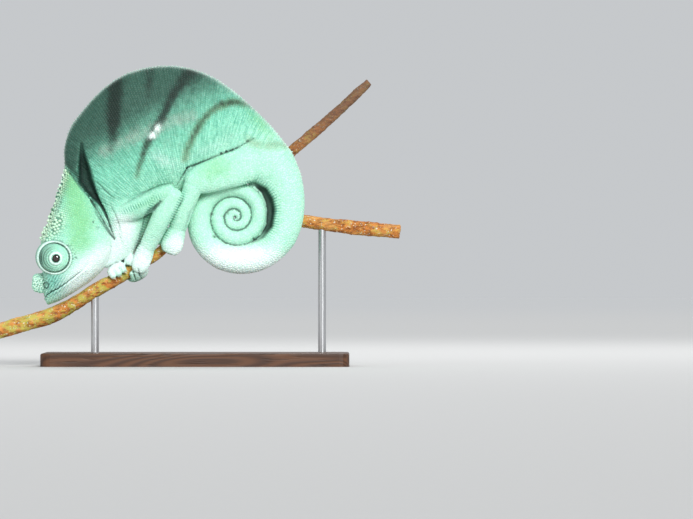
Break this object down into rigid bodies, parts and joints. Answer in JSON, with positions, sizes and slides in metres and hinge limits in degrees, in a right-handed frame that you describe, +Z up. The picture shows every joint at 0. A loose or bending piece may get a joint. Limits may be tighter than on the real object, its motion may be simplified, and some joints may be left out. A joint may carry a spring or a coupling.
{
  "type": "parson's chameleon on a branch",
  "caption": "Life-size roosting chameleon with coiled tail and tall casque, gripping a cut forked branch held over a flat base by short rods.",
  "frame": {"origin": "centre of the model's box, at the underside of the stand's base", "axes": "+X along the branch from the head's end to the cut ends of its arms, +Z up, the animal's left side faces -Y"},
  "size_m": [0.2457, 0.092, 0.1815],
  "materials": {
    "skin": "dry granular reptile skin, mint and teal with darker slanting bands",
    "eye": "wet dark eye",
    "bark": "thin mottled bark, ochre and brown",
    "base_wood": "dark stained wood, satin",
    "rod_steel": "brushed"
  },
  "bodies": {
    "root": {"head": "skin", "neck": "skin", "torso": "skin", "tail_1": "skin", "tail_2": "skin", "tail_3": "skin", "tail_4": "skin", "tail_5": "skin", "tail_6": "skin", "rostral_appendage_left": "skin", "rostral_appendage_right": "skin", "eye_turret_left": "skin", "eye_turret_right": "skin", "eye_left": "eye", "eye_right": "eye", "upper_arm_left": "skin", "upper_arm_right": "skin", "forearm_left": "skin", "forearm_right": "skin", "hand_left": "skin", "hand_right": "skin", "thigh_left": "skin", "thigh_right": "skin", "shin_left": "skin", "shin_right": "skin", "foot_left": "skin", "foot_right": "skin", "perch_main": "bark", "perch_arm_level": "bark", "perch_arm_rising": "bark", "stand_base": "base_wood", "stand_rod_left": "rod_steel", "stand_rod_right": "rod_steel"}
  },
  "joints": []
}
